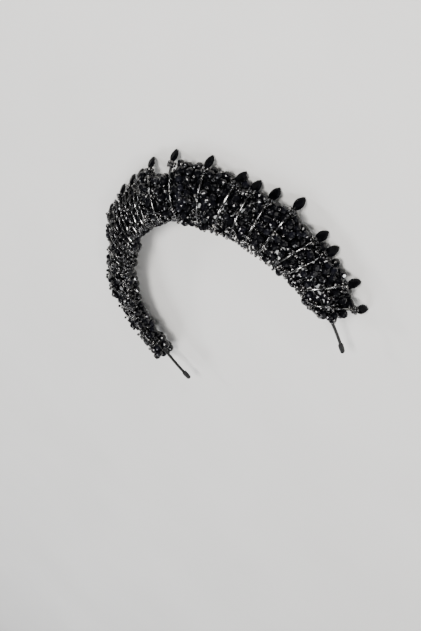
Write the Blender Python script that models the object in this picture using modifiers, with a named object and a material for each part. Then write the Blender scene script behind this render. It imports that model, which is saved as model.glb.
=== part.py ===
"""Beaded bridal crown: a thin headband that carries leaf sprigs and crystal sprays.

The crown lies on its back, as it does on a table. +X is the wearer's left, +Y runs
from the legs to the top of the arch, and +Z is the wearer's front. The origin is on
the table, under the middle of the crown's box. All sizes are in metres.
"""

import math

import bmesh
import bpy
from mathutils import Matrix, Vector

# Headband: a flat strip bent to an arch. Each side is half an ellipse of the arch's
# half width. The upper quarter is as high as ARCH_RISE, the lower as deep as LEG_REACH.
ARCH_HALF_WIDTH = 0.0716
ARCH_RISE = 0.0688
LEG_REACH = 0.0922
LEG_END_ANGLE = 113.0
BAND_WIDTH = 0.0018
BAND_THICKNESS = 0.0010
BAND_EDGE = 0.00020
BAND_SEGMENTS = 46

# End caps
CAP_LENGTH = 0.0060
CAP_WALL = 0.00045
CAP_DEPTH = 0.0045
CAP_EDGE = 0.00035
CAP_GAP = 0.0001

# Clearance between pieces that meet
GAP = 0.0003

# Wire wraps that hold a stem on the band
WRAP_WIDTH = 0.0020
WRAP_WALL = 0.0007

# Beads threaded on a sprig's stem, with a short step between two, and its leaf stone
BEAD_STEP = 0.0002
WIRE_OVERLAP = 0.0008
BUGLE_LENGTH = 0.0070
BUGLE_RADIUS = 0.00090
SEED_LENGTH = 0.0018
SEED_RADIUS = 0.0014
CALYX_LENGTH = 0.0030
CALYX_RADIUS = 0.0019
CALYX_NECK = 0.0009
BEAD_SIDES = 10
LEAF_LENGTH = 0.0090
LEAF_WIDTH = 0.0048
LEAF_THICKNESS = 0.0027
LEAF_TABLE_SHARE = 0.55
LEAF_BACK_SHARE = 0.45
LEAF_OVERLAP = 0.0012
LEAF_SIDES = 8

# Stems: each leaves its wrap forwards, turns outwards at its foot and bends back to its
# tip. The rise is measured outwards from the band, the depths back from its middle.
STEM_RADIUS = 0.00045
STEM_SIDES = 6
STEM_POINTS = 2
STEM_BEND = 62.0
FOOT_FORWARD = 0.0086
FOOT_INSET = 0.0010
SPRIG_RISE = LEAF_LENGTH + CALYX_LENGTH + 2.0 * BUGLE_LENGTH + SEED_LENGTH
TIP_DEPTH = 0.0126

# Cut crystals threaded on a spray's stem
CRYSTAL_DIAMETER = 0.0066
CRYSTAL_SMALLEST = 0.0036
CRYSTAL_TABLE_SHARE = 0.52
CRYSTAL_SIDES = 8
CRYSTAL_COUNT = 5
CRYSTAL_ROOM = BUGLE_RADIUS + GAP
FIRST_CRYSTAL = 0.0022
SPRAY_FOOT_FORWARD = 0.0056
SPRAY_RISE = 0.0237
SPRAY_LEAST_SHARE = 0.80
END_SPRAY_SHARE = 0.55
SPRAY_TIP_DEPTH = 0.0085

# One row per sprig: angle on the arch from its top (towards the wearer's left), rise as
# a share of SPRIG_RISE, foot as a share of FOOT_FORWARD, and fan, the sideways turn of
# the whole stem in degrees towards the end of the arch. The spray between two sprigs
# takes their means, with a rise of at least SPRAY_LEAST_SHARE. One more spray, shorter
# than the others, is END_SPRAY_STEP degrees beyond each end sprig.
SPRIG_COLUMNS = ("angle", "rise", "foot", "fan")
LEFT_SPRIGS = (
    (92.0, 0.67, 0.75, 37.0),
    (85.0, 0.76, 0.70, 27.0),
    (75.0, 0.74, 1.00, 15.0),
    (69.0, 0.79, 1.00, 15.0),
    (60.5, 1.00, 1.00, 4.0),
    (53.0, 0.85, 1.00, 2.0),
    (45.5, 0.79, 1.00, 4.0),
    (37.5, 0.84, 1.00, 11.0),
    (28.0, 0.98, 1.00, 3.0),
    (16.0, 1.08, 1.00, -2.0),
    (5.2, 1.04, 1.00, -3.0),
)
MIDDLE_SPRIGS = (
    (-3.0, 0.93, 1.00, 2.0),
    (-9.5, 0.94, 1.00, -2.0),
    (-17.5, 0.95, 1.00, -3.0),
)
MIRRORED_FROM = 25.0
END_SPRAY_STEP = 3.5

COLOURS = {
    "headband": ((0.012, 0.012, 0.013), 0.35, 0.8),
    "end_cap": ((0.020, 0.020, 0.022), 0.60, 0.0),
    "leaf_sprig": ((0.090, 0.090, 0.100), 0.22, 0.9),
    "crystal_spray": ((0.006, 0.006, 0.008), 0.08, 0.0),
}


def clear_scene():
    for item in list(bpy.data.objects):
        bpy.data.objects.remove(item, do_unlink=True)


def make_material(name):
    colour, roughness, metallic = COLOURS[name]
    material = bpy.data.materials.new(name)
    material.use_nodes = True
    shader = material.node_tree.nodes["Principled BSDF"]
    shader.inputs["Base Color"].default_value = (*colour, 1.0)
    shader.inputs["Roughness"].default_value = roughness
    shader.inputs["Metallic"].default_value = metallic
    return material


# The arch


def arch_point(angle):
    rise = ARCH_RISE if abs(angle) <= 90.0 else LEG_REACH
    turn = math.radians(angle)
    return Vector((ARCH_HALF_WIDTH * math.sin(turn), rise * math.cos(turn), 0.0))


def arch_outward(angle):
    rise = ARCH_RISE if abs(angle) <= 90.0 else LEG_REACH
    turn = math.radians(angle)
    return Vector((math.sin(turn) / ARCH_HALF_WIDTH, math.cos(turn) / rise, 0.0)).normalized()


def arch_place(angle):
    """Axes at an angle of the arch: x towards its end, y outwards, z to the front."""
    outward = arch_outward(angle)
    front = Vector((0.0, 0.0, 1.0))
    side = outward.cross(front)
    place = Matrix((side, outward, front)).transposed().to_4x4()
    place.translation = arch_point(angle)
    return place


# Meshes and solids


def mesh_object(name, mesh, collection, place=Matrix.Identity(4)):
    item = bpy.data.objects.new(name, mesh)
    item.matrix_world = place
    collection.objects.link(item)
    return item


def baked_mesh(item):
    """The evaluated mesh of an object, with loose caps welded."""
    bpy.context.view_layer.update()
    graph = bpy.context.evaluated_depsgraph_get()
    mesh = bpy.data.meshes.new_from_object(item.evaluated_get(graph))
    work = bmesh.new()
    work.from_mesh(mesh)
    bmesh.ops.remove_doubles(work, verts=work.verts, dist=0.000001)
    bmesh.ops.recalc_face_normals(work, faces=work.faces)
    work.to_mesh(mesh)
    work.free()
    return mesh


def baked(item):
    """The object with its modifiers or its curve turned into a plain mesh."""
    solid = mesh_object(item.name + "_solid", baked_mesh(item), item.users_collection[0])
    solid.matrix_world = item.matrix_world
    bpy.data.objects.remove(item, do_unlink=True)
    return solid


def turned_mesh(profile, sides):
    """A closed solid turned about Z from a profile of (radius, height), top to bottom."""
    mesh = bpy.data.meshes.new("profile")
    points = [(radius, 0.0, height) for radius, height in profile]
    mesh.from_pydata(points, [(n, n + 1) for n in range(len(points) - 1)], [])
    item = mesh_object("profile", mesh, bpy.context.scene.collection)
    screw = item.modifiers.new("Screw", "SCREW")
    screw.steps = sides
    screw.render_steps = sides
    screw.use_merge_vertices = True
    screw.merge_threshold = 0.00001
    solid = baked_mesh(item)
    bpy.data.objects.remove(item, do_unlink=True)
    work = bmesh.new()
    work.from_mesh(solid)
    bmesh.ops.holes_fill(work, edges=work.edges, sides=sides)
    bmesh.ops.recalc_face_normals(work, faces=work.faces)
    work.to_mesh(solid)
    work.free()
    return solid


def swept(name, stations, sides, collection):
    """A closed solid along stations, each a point and the radius there."""
    curve = bpy.data.curves.new(name, "CURVE")
    curve.dimensions = "3D"
    curve.bevel_depth = 1.0
    curve.bevel_resolution = sides // 2 - 2
    curve.use_fill_caps = True
    spline = curve.splines.new("POLY")
    spline.points.add(len(stations) - 1)
    for spot, (point, radius) in zip(spline.points, stations):
        spot.co = (*point, 1.0)
        spot.radius = radius
    return baked(mesh_object(name, curve, collection))


def fused(name, solids, collection, material):
    """One body from solids that run into each other."""
    body = solids[0]
    for other in solids[1:]:
        union = body.modifiers.new("Union", "BOOLEAN")
        union.operation = "UNION"
        union.solver = "EXACT"
        union.object = other
    result = mesh_object(name, baked_mesh(body), collection, body.matrix_world.copy())
    result.data.name = name
    result.data.materials.clear()
    result.data.materials.append(material)
    for solid in solids:
        bpy.data.objects.remove(solid, do_unlink=True)
    return result


def oriented(point, direction, facing):
    """Axes at a point: z along direction, x as near to facing as it can be."""
    z_axis = direction.normalized()
    y_axis = z_axis.cross(facing).normalized()
    x_axis = y_axis.cross(z_axis)
    place = Matrix((x_axis, y_axis, z_axis)).transposed().to_4x4()
    place.translation = point
    return place


# Headband and end caps


def headband(collection, material):
    angles = [
        LEG_END_ANGLE * (2.0 * n / BAND_SEGMENTS - 1.0) for n in range(BAND_SEGMENTS + 1)
    ]
    mesh = bpy.data.meshes.new("headband")
    work = bmesh.new()
    rows = []
    for angle in angles:
        middle = arch_point(angle)
        half = Vector((0.0, 0.0, BAND_WIDTH / 2.0))
        rows.append((work.verts.new(middle - half), work.verts.new(middle + half)))
    for first, second in zip(rows, rows[1:]):
        work.faces.new((first[0], first[1], second[1], second[0]))
    work.to_mesh(mesh)
    work.free()
    mesh.materials.append(material)
    band = mesh_object("headband", mesh, collection)
    wall = band.modifiers.new("Solidify", "SOLIDIFY")
    wall.thickness = BAND_THICKNESS
    wall.offset = 0.0
    wall.use_even_offset = True
    edge = band.modifiers.new("Bevel", "BEVEL")
    edge.width = BAND_EDGE
    edge.segments = 1
    edge.limit_method = "ANGLE"
    edge.angle_limit = math.radians(40.0)
    return band


def box(name, size, place, collection):
    mesh = bpy.data.meshes.new(name)
    work = bmesh.new()
    bmesh.ops.create_cube(work, size=1.0, matrix=Matrix.Diagonal((*size, 1.0)))
    work.to_mesh(mesh)
    work.free()
    return mesh_object(name, mesh, collection, place)


def end_cap(name, side, collection, material):
    """A soft tip over one end of the band, with a pocket that the band's end enters."""
    end = arch_point(side * LEG_END_ANGLE)
    before = arch_point(side * (LEG_END_ANGLE - LEG_END_ANGLE / BAND_SEGMENTS * 2.0))
    along = (end - before).normalized()
    place = oriented(end, along, Vector((0.0, 0.0, 1.0)))
    pocket_size = (BAND_WIDTH + 2.0 * CAP_GAP, BAND_THICKNESS + 2.0 * CAP_GAP)
    outer_size = tuple(width + 2.0 * CAP_WALL for width in pocket_size)
    start = CAP_GAP - CAP_DEPTH
    shift = Matrix.Translation((0.0, 0.0, start + CAP_LENGTH / 2.0))
    cap = box(name, (*outer_size, CAP_LENGTH), place @ shift, collection)
    edge = cap.modifiers.new("Bevel", "BEVEL")
    edge.width = CAP_EDGE
    edge.segments = 2
    cutter_length = 2.0 * CAP_DEPTH
    shift = Matrix.Translation((0.0, 0.0, CAP_GAP - cutter_length / 2.0))
    cutter = box(name + "_pocket", (*pocket_size, cutter_length), place @ shift, collection)
    cut = cap.modifiers.new("Pocket", "BOOLEAN")
    cut.operation = "DIFFERENCE"
    cut.solver = "EXACT"
    cut.object = cutter
    result = mesh_object(name, baked_mesh(cap), collection, cap.matrix_world.copy())
    result.data.materials.append(material)
    bpy.data.objects.remove(cap, do_unlink=True)
    bpy.data.objects.remove(cutter, do_unlink=True)
    result.name = name
    return result


# Stems and their wraps


def wrap(angle, collection):
    """The turns of wire round the band, as one flat ring."""
    place = arch_place(angle)
    inner = (WRAP_WIDTH * 2.0, BAND_THICKNESS + 2.0 * GAP, BAND_WIDTH + 2.0 * GAP)
    outer = (WRAP_WIDTH, inner[1] + 2.0 * WRAP_WALL, inner[2] + 2.0 * WRAP_WALL)
    ring = box("wrap", outer, place, collection)
    cutter = box("wrap_hole", inner, place, collection)
    cut = ring.modifiers.new("Hole", "BOOLEAN")
    cut.operation = "DIFFERENCE"
    cut.solver = "EXACT"
    cut.object = cutter
    solid = baked(ring)
    bpy.data.objects.remove(cutter, do_unlink=True)
    return solid


class Stem:
    """The line of one stem: an arc over a chord that leans back and fans sideways."""

    def __init__(self, angle, rise, foot, tip_depth, fan):
        self.place = arch_place(angle)
        side, outward, front = self.place.to_3x3().transposed()
        fan = math.radians(fan) * (1.0 if angle >= 0.0 else -1.0)
        foot = max(foot, BAND_WIDTH / 2.0 + GAP + WRAP_WALL + BUGLE_RADIUS + GAP)
        depth = (tip_depth + foot) / math.cos(fan)
        lean = math.atan2(depth, rise)
        chord = outward * math.cos(lean) - front * math.sin(lean)
        self.start = self.place @ Vector((0.0, -FOOT_INSET, foot))
        self.chord = chord * math.cos(fan) + side * math.sin(fan)
        self.side = side * math.cos(fan) - chord * math.sin(fan)
        self.bow = outward * math.sin(lean) + front * math.cos(lean)
        self.half_bend = math.radians(STEM_BEND) / 2.0
        self.length = math.hypot(depth, rise) * self.half_bend / math.sin(self.half_bend)

    def turned(self, distance):
        """The angle between the chord and the stem at a distance from its foot."""
        return self.half_bend * (2.0 * distance / self.length - 1.0)

    def point(self, distance):
        """The point at a distance along the stem from its foot."""
        radius = self.length / (2.0 * self.half_bend)
        end = self.turned(distance)
        along = radius * (math.sin(end) + math.sin(self.half_bend))
        bowed = radius * (math.cos(end) - math.cos(self.half_bend))
        return self.start + self.chord * along + self.bow * bowed

    def direction(self, distance):
        end = self.turned(distance)
        return self.chord * math.cos(end) - self.bow * math.sin(end)

    def facing(self, distance):
        """Away from the band's centre and square to the stem."""
        return self.side.cross(self.direction(distance))

    def wire_to(self, end, collection):
        wrap_front = BAND_WIDTH / 2.0 + GAP + WRAP_WALL / 2.0
        points = [self.place @ Vector((0.0, 0.0, wrap_front))]
        points += [self.point(end * n / STEM_POINTS) for n in range(STEM_POINTS + 1)]
        stations = [(point, STEM_RADIUS) for point in points]
        return swept("wire", stations, STEM_SIDES, collection)

    def threaded(self, name, rings, sides, collection):
        """A row of beads on the stem from rings of (distance, radius)."""
        stations = [(self.point(distance), radius) for distance, radius in rings]
        return swept(name, stations, sides, collection)


# Leaf sprigs


def leaf_mesh():
    """A navette stone: pointed at both ends along Z, its table facing X."""
    mesh = turned_mesh(
        (
            (LEAF_TABLE_SHARE, LEAF_THICKNESS / 2.0),
            (1.0, 0.0),
            (LEAF_BACK_SHARE, -LEAF_THICKNESS / 2.0),
        ),
        LEAF_SIDES,
    )
    for spot in mesh.vertices:
        x, y, z = spot.co
        reach = math.hypot(x, y)
        narrow = abs(y) / reach
        spot.co = (z, y * narrow * LEAF_WIDTH / 2.0, x * LEAF_LENGTH / 2.0)
    return mesh


def sprig_rings(end):
    """The rings of a sprig's beads, from the calyx at the leaf down to the wire."""
    rings = []
    beads = (
        (CALYX_LENGTH, CALYX_RADIUS, CALYX_NECK),
        (BUGLE_LENGTH, BUGLE_RADIUS, BUGLE_RADIUS),
        (SEED_LENGTH, SEED_RADIUS, SEED_RADIUS),
        (BUGLE_LENGTH, BUGLE_RADIUS, BUGLE_RADIUS),
    )
    for length, top, bottom in beads:
        rings += [(end, top), (end - length, bottom)]
        end -= length + BEAD_STEP
    return rings[::-1]


def leaf_sprig(name, row, shapes, collection, material):
    stem = Stem(
        row["angle"],
        row["rise"] * SPRIG_RISE,
        row["foot"] * FOOT_FORWARD,
        TIP_DEPTH,
        row["fan"],
    )
    leaf_start = stem.length - LEAF_LENGTH
    rings = sprig_rings(leaf_start + LEAF_OVERLAP)
    base = stem.point(leaf_start)
    tip = stem.point(stem.length)
    facing = stem.facing(stem.length - LEAF_LENGTH / 2.0)
    place = oriented((base + tip) / 2.0, tip - base, facing)
    solids = [
        stem.threaded("beads", rings, BEAD_SIDES, collection),
        mesh_object("leaf", shapes["leaf"], collection, place),
        stem.wire_to(rings[0][0] + WIRE_OVERLAP, collection),
        wrap(row["angle"], collection),
    ]
    return fused(name, solids, collection, material)


# Crystal sprays


def crystal_spray(name, row, collection, material):
    """A stem with a row of crystals, inside the room between two sprigs."""
    stem = Stem(
        row["angle"],
        row["rise"] * SPRAY_RISE,
        row["foot"] * SPRAY_FOOT_FORWARD,
        SPRAY_TIP_DEPTH,
        row["fan"],
    )
    spacing = math.radians(row["half_gap"]) * ARCH_RISE * math.cos(math.radians(row["fan"]))
    room = spacing - CRYSTAL_ROOM
    girdle = max(CRYSTAL_SMALLEST, min(CRYSTAL_DIAMETER, 2.0 * room)) / 2.0
    table = girdle * CRYSTAL_TABLE_SHARE
    pitch = (stem.length - FIRST_CRYSTAL) / CRYSTAL_COUNT
    rings = [(FIRST_CRYSTAL, table)]
    for n in range(CRYSTAL_COUNT):
        start = FIRST_CRYSTAL + n * pitch
        rings += [(start + pitch / 2.0, girdle), (start + pitch, table)]
    solids = [
        stem.threaded("crystals", rings, CRYSTAL_SIDES, collection),
        stem.wire_to(FIRST_CRYSTAL + WIRE_OVERLAP, collection),
        wrap(row["angle"], collection),
    ]
    return fused(name, solids, collection, material)


# The rows along the arch


def sprig_rows():
    rows = list(LEFT_SPRIGS) + list(MIDDLE_SPRIGS)
    for angle, rise, foot, fan in reversed(LEFT_SPRIGS):
        if angle > MIRRORED_FROM:
            rows.append((-angle, rise, foot, fan))
    return [dict(zip(SPRIG_COLUMNS, row)) for row in rows]


def end_spray_row(row, step):
    return {
        **row,
        "angle": row["angle"] + step,
        "rise": END_SPRAY_SHARE,
        "half_gap": END_SPRAY_STEP,
    }


def spray_rows(rows):
    """A spray beyond each end sprig and one between each two sprigs."""
    result = [end_spray_row(rows[0], END_SPRAY_STEP)]
    for one, two in zip(rows, rows[1:]):
        row = {column: (one[column] + two[column]) / 2.0 for column in SPRIG_COLUMNS}
        row["rise"] = max(row["rise"], SPRAY_LEAST_SHARE)
        row["half_gap"] = (one["angle"] - two["angle"]) / 2.0
        result.append(row)
    result.append(end_spray_row(rows[-1], -END_SPRAY_STEP))
    return result


def set_down(collection):
    """Parents all pieces to an empty that puts the box's bottom centre at the origin."""
    bpy.context.view_layer.update()
    graph = bpy.context.evaluated_depsgraph_get()
    corners = []
    for item in collection.objects:
        mesh = item.evaluated_get(graph).data
        corners += [item.matrix_world @ spot.co for spot in mesh.vertices]
    lowest = Vector(min(spot[axis] for spot in corners) for axis in range(3))
    highest = Vector(max(spot[axis] for spot in corners) for axis in range(3))
    middle = (lowest + highest) / 2.0
    origin = bpy.data.objects.new("crown_origin", None)
    for item in collection.objects:
        item.parent = origin
    origin.location = (-middle.x, -middle.y, -lowest.z)
    collection.objects.link(origin)


def build():
    clear_scene()
    crown = bpy.data.collections.new("bridal_crown")
    bpy.context.scene.collection.children.link(crown)
    materials = {name: make_material(name) for name in COLOURS}
    shapes = {"leaf": leaf_mesh()}
    headband(crown, materials["headband"])
    end_cap("end_cap_left", 1.0, crown, materials["end_cap"])
    end_cap("end_cap_right", -1.0, crown, materials["end_cap"])
    rows = sprig_rows()
    for number, row in enumerate(rows, 1):
        leaf_sprig(f"leaf_sprig_{number:02d}", row, shapes, crown, materials["leaf_sprig"])
    for number, row in enumerate(spray_rows(rows), 1):
        name = f"crystal_spray_{number:02d}"
        crystal_spray(name, row, crown, materials["crystal_spray"])
    set_down(crown)


build()
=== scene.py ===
"""Looks of the beaded bridal crown: jet crystals, gunmetal seed and bugle beads, wires."""

import math
import random

import bpy
import numpy as np
from mathutils import Matrix, Vector


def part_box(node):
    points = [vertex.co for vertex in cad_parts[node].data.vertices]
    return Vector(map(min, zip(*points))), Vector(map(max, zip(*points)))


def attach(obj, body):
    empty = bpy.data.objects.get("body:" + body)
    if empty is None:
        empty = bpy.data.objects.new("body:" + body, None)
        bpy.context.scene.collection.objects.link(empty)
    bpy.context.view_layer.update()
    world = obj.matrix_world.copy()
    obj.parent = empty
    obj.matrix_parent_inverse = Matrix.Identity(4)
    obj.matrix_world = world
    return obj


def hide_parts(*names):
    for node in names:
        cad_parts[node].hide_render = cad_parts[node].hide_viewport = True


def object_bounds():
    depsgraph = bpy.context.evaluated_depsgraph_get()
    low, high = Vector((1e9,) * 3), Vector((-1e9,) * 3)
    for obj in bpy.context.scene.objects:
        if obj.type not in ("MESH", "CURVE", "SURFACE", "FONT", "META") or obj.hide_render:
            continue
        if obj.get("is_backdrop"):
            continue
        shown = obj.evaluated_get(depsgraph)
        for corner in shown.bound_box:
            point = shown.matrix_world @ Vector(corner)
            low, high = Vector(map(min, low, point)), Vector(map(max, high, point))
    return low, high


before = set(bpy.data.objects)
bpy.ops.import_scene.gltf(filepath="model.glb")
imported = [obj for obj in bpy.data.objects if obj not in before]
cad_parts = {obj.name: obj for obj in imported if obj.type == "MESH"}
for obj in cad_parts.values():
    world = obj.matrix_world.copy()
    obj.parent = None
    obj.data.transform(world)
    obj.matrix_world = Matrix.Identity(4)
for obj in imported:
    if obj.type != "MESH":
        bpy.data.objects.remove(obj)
CAD_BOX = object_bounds()

# Headband and caps, as in the solid model
ARCH_HALF_WIDTH = 0.0716
ARCH_RISE = 0.0688
LEG_REACH = 0.0922
LEG_END_ANGLE = 113.0
BAND_WIDTH = 0.0018
BAND_THICKNESS = 0.0010
BAND_STEPS = 240
BAND_EDGE_SHARE = 0.30
BAND_EDGE_STEPS = 4

# Caps: half sizes along, across and through, how square the section is across and
# through, and how the tip and the mouth round off
CAP_HALF_SIZES = (0.0029, 0.00142, 0.00102)
CAP_SECTION_POWERS = (0.55, 0.75)
CAP_TIP_POWER = 5.0
CAP_MOUTH_POWER = 14.0
CAP_TIP_SWELL = 0.35
CAP_MOUTH_SWELL = 0.9
CAP_TAPER = 0.06
CAP_AIM_ANGLE = 5.0
CAP_ROWS = 18
CAP_SIDES = 28

# Stems, as in the solid model
STEM_BEND = 62.0
FOOT_FORWARD = 0.0086
FOOT_INSET = 0.0010
LEAST_FOOT = 0.0031
LEAF_LENGTH = 0.0090
LEAF_WIDTH = 0.0048
LEAF_THICKNESS = 0.0027
SPRIG_RISE = 0.0278
TIP_DEPTH = 0.0126
SPRAY_RISE = 0.0237
SPRAY_LEAST_SHARE = 0.80
END_SPRAY_SHARE = 0.55
END_SPRAY_STEP = 3.5
SPRAY_FOOT_FORWARD = 0.0056
SPRAY_TIP_DEPTH = 0.0085

# One row per sprig: angle on the arch, rise and foot as shares, and fan in degrees
SPRIG_COLUMNS = ("angle", "rise", "foot", "fan")
LEFT_SPRIGS = (
    (92.0, 0.67, 0.75, 37.0),
    (85.0, 0.76, 0.70, 27.0),
    (75.0, 0.74, 1.00, 15.0),
    (69.0, 0.79, 1.00, 15.0),
    (60.5, 1.00, 1.00, 4.0),
    (53.0, 0.85, 1.00, 2.0),
    (45.5, 0.79, 1.00, 4.0),
    (37.5, 0.84, 1.00, 11.0),
    (28.0, 0.98, 1.00, 3.0),
    (16.0, 1.08, 1.00, -2.0),
    (5.2, 1.04, 1.00, -3.0),
)
MIDDLE_SPRIGS = (
    (-3.0, 0.93, 1.00, 2.0),
    (-9.5, 0.94, 1.00, -2.0),
    (-17.5, 0.95, 1.00, -3.0),
)
MIRRORED_FROM = 25.0

# Wires: a stem is two strands twisted together
STRAND_RADIUS = 0.00024
STRAND_PITCH = 0.0026
STRAND_SIDES = 6
STRAND_STEP = 0.00033
LOOP_WIRE_RADIUS = 0.00014
LOOP_WIRE_SIDES = 5

# A coil's turns follow the band's section; lift and pitch are in radii of its wire
COIL_WIRE_RADIUS = 0.00027
COIL_TURNS = 4
COIL_STEPS = 20
COIL_POWER = 0.35
COIL_LIFT = 1.15
COIL_PITCH = 2.05
COIL_BALL_SHARES = (-1.0, -0.5, 0.0, 0.5, 1.0)

# The wire's way from the coil to the foot of its stem
PATH_START_INSET = 0.0002
PATH_BEND_INSET_SHARE = 0.9
PATH_BEND_FOOT_SHARE = 0.93
PATH_LEAD_SHARES = (0.35, 0.75)
PATH_STEP = 0.0012
PATH_LEAST_STEPS = 4

# Beads, and the balls that stand for a bugle when other beads are placed
BUGLE_LENGTH = 0.0070
BUGLE_DIAMETER = 0.0014
BUGLE_COUNT = 2
BUGLE_BALLS = 7
SEED_DIAMETER = 0.0018
SEED_LENGTH_SHARE = 0.72

# Leaf stones: thickness, width and length against the solid's, and the balls that stand
# for one when beads are placed
LEAF_FIT = (0.94, 1.07, 1.0)
LEAF_DROP = 0.00026
LEAF_POINT_POWER = 0.7
LEAF_BALLS = 5
LEAF_BALL_RADIUS = LEAF_WIDTH / 2.4
LEAF_COVER_SHARE = 0.6

# Along a sprig: how far its wire runs into the leaf, and its beads from the leaf down
WIRE_INTO_LEAF = 0.0012
NECK_ROOM = 0.0016
NECK_SHARE = 0.55
JOINT_LENGTH = 0.0027
TAIL_SHARE = 0.8
TAIL_FILE_SHARE = 0.8

# Whorls of beads: place, count and radius. A calyx ring's place is its distance from the
# leaf's foot, and its last number turns it. A cluster ring's place is a share of the tail.
CALYX_RINGS = ((-0.0002, 6, 0.0018, 0.0), (-0.0015, 4, 0.0015, 0.5))
CLUSTER_RINGS = ((-0.3, 4, 0.0019), (0.25, 5, 0.0019), (0.70, 5, 0.0018))
WHORL_COUNT = 4
WHORL_RADIUS = 0.0018
WHORL_MOST_TURN = 2.0
WHORL_TURN_JITTER = 0.25
WHORL_PLACE_JITTER = 0.0004
WHORL_SIZES = (0.92, 1.06)
WHORL_LEAN = 0.8
WHORL_OUTWARDS = 0.6

# How far the stones of a spray start below its foot and reach up it, as shares of the
# length of a sprig there. The wearer's right mirrors the left past the middle sprigs.
REACH_COLUMNS = ("angle", "start", "reach")
STONE_REACHES = (
    (97.0, 0.06, 0.20),
    (95.0, 0.00, 0.42),
    (92.5, -0.08, 0.72),
    (88.5, -0.12, 0.72),
    (80.0, -0.10, 0.79),
    (72.0, -0.13, 0.78),
    (64.8, -0.17, 0.71),
    (56.8, -0.19, 0.70),
    (49.2, -0.25, 0.76),
    (41.5, -0.24, 0.82),
    (32.8, -0.18, 0.80),
    (22.0, -0.09, 0.79),
    (10.6, -0.05, 0.60),
    (1.1, -0.05, 0.76),
    (-22.8, -0.04, 0.78),
)

STONE_END_ANGLE = 97.0
END_STEM_ANGLE = 92.0

# More strands of bugles hang between the sprigs, on the wearer's right of the top
STRANDS_FROM = -5.0
STRANDS_TO = -46.0
STRANDS_APART = 4.0
STRAND_HEIGHT = -0.0004
STRAND_BUGLES = 3
STRAND_TOP_ROOM = (0.02, 0.10)
STRAND_SEED_GAPS = (0.6, 1.9)
STRAND_WIRE_SHARE = 0.6
STRAND_COVER_SHARE = 0.7

# Crystals lie in layers behind the sheet that the sprigs' stems lie in, and smaller ones
# and seed beads are thrown between them. A height is outwards from that sheet.
# The darts and the most that stay are counts for each COUNT_ANGLE of the arch. A
# closeness under 1 lets a stone sink into what is beside it.
LAYER_COLUMNS = ("diameter", "pitch", "height", "jitter", "closeness")
CRYSTAL_LAYERS = (
    (0.0054, 0.0050, -0.0078, 0.0004, 0.72),
    (0.0052, 0.0048, -0.0048, 0.0005, 0.72),
    (0.0049, 0.0045, -0.0021, 0.0006, 0.76),
)
THROWN_COLUMNS = ("diameter", "darts", "most", "back", "front", "low", "high", "closeness")
THROWN_CRYSTALS = (
    (0.0050, 400, 20, -0.0090, -0.0034, 0.0, 1.0, 0.70),
    (0.0042, 200, 10, -0.0044, 0.0004, 0.0, 0.2, 0.76),
    (0.0045, 300, 14, -0.0036, 0.0006, 0.0, 1.0, 0.76),
    (0.0036, 240, 9, -0.0030, 0.0012, 0.0, 1.0, 0.80),
)
THROWN_SEEDS = (
    (0.0018, 140, 12, -0.0050, 0.0010, -0.02, 0.16, 0.84),
    (0.0018, 200, 11, -0.0016, 0.0016, 0.0, 1.0, 0.86),
)
COUNT_ANGLE = 10.0
LAYER_ROW_SHARE = 0.87
LAYER_JITTER = 0.15
LAYER_FIRST_PLACE = 0.25
LAYER_PLACES = (0.02, 0.98)
STONE_SIZES = (0.94, 1.06)
STONE_FACING = 0.4
HEAD_ROOM = 0.0078

# Wires of a spray: its own stem, a feeler to each front stone and loose ends that curl
SPRAY_WIRE_SHARE = 1.1
SPRAY_WIRE_MOST = 0.9
FEELER_START_SHARE = 0.5
FEELER_SAG = 0.0010
CURL_COUNT = 1
CURL_STEPS = 10
CURL_REACHES = (0.003, 0.006)
CURL_LIFTS = (0.0012, 0.0024)
CURL_SUNK = 0.0006
CURL_BEND = 0.0012

# A stone beside a stem leaves it open to view up to this slant from straight in front
VIEW_SLANT = 42.0
COVER_STEP = 0.0012
BOX_ROOM = 0.0002
TOUCH_ROOM = 0.0002
SAME_PLACE = 0.00001
SAME_DIRECTION = 0.001

# Camera, measured on the photograph, in the arch's own axes
CAMERA_PLACE = (0.35957, 0.13346, 0.28877)
CAMERA_RIGHT = (0.63034, -0.52630, -0.57068)
CAMERA_UP = (0.15751, 0.80653, -0.56982)
IMAGE_LONG_SIDE = 631
FOCAL_PIXELS = 842
SENSOR = 36.0
CLIP = (0.01, 20.0)

# Surfaces: refraction, how deep their grain is, and the floor from its middle to its edge
SURFACE_IOR = 1.5
GRAIN_DEPTH = 0.0001
FLOOR_HALF = 30.0

# Lights
SUN_STRENGTH = 0.8
SUN_SPREAD = 60.0
SUN_TILT = (25.0, 15.0, 0.0)
LIGHT_AIM = (0.0, 0.02, 0.01)

# Name, place, size, watts and colour of each light
LIGHTS = (
    ("key_softbox", (0.50, 0.45, 1.00), 0.40, 17.0, (1.0, 0.98, 0.95)),
    ("fill_softbox", (-0.80, -0.40, 0.90), 0.60, 9.0, (0.95, 0.97, 1.0)),
    ("back_sparkle", (-0.60, 0.70, 0.55), 0.16, 3.5, (1.0, 1.0, 1.0)),
    ("front_sparkle", (0.60, -0.40, 0.60), 0.12, 2.5, (1.0, 1.0, 1.0)),
    ("side_sparkle", (0.80, 0.45, 0.35), 0.12, 2.0, (1.0, 1.0, 1.0)),
)
WORLD_COLOUR = (0.80, 0.83, 0.88, 1.0)
WORLD_STRENGTH = 0.07

# First numbers of the seeded draws
SPRIG_DRAWS = 1100
STRAND_DRAWS = 5500
SPRAY_DRAWS = 11000


# Geometry of the arch and its stems

band_low, band_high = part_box("headband")
ARCH_CENTRE = Vector(
    (
        (band_low.x + band_high.x) / 2.0,
        band_high.y - ARCH_RISE - BAND_THICKNESS / 2.0,
        (band_low.z + band_high.z) / 2.0,
    )
)


def arch_rise(angle):
    return ARCH_RISE if abs(angle) <= 90.0 else LEG_REACH


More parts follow.
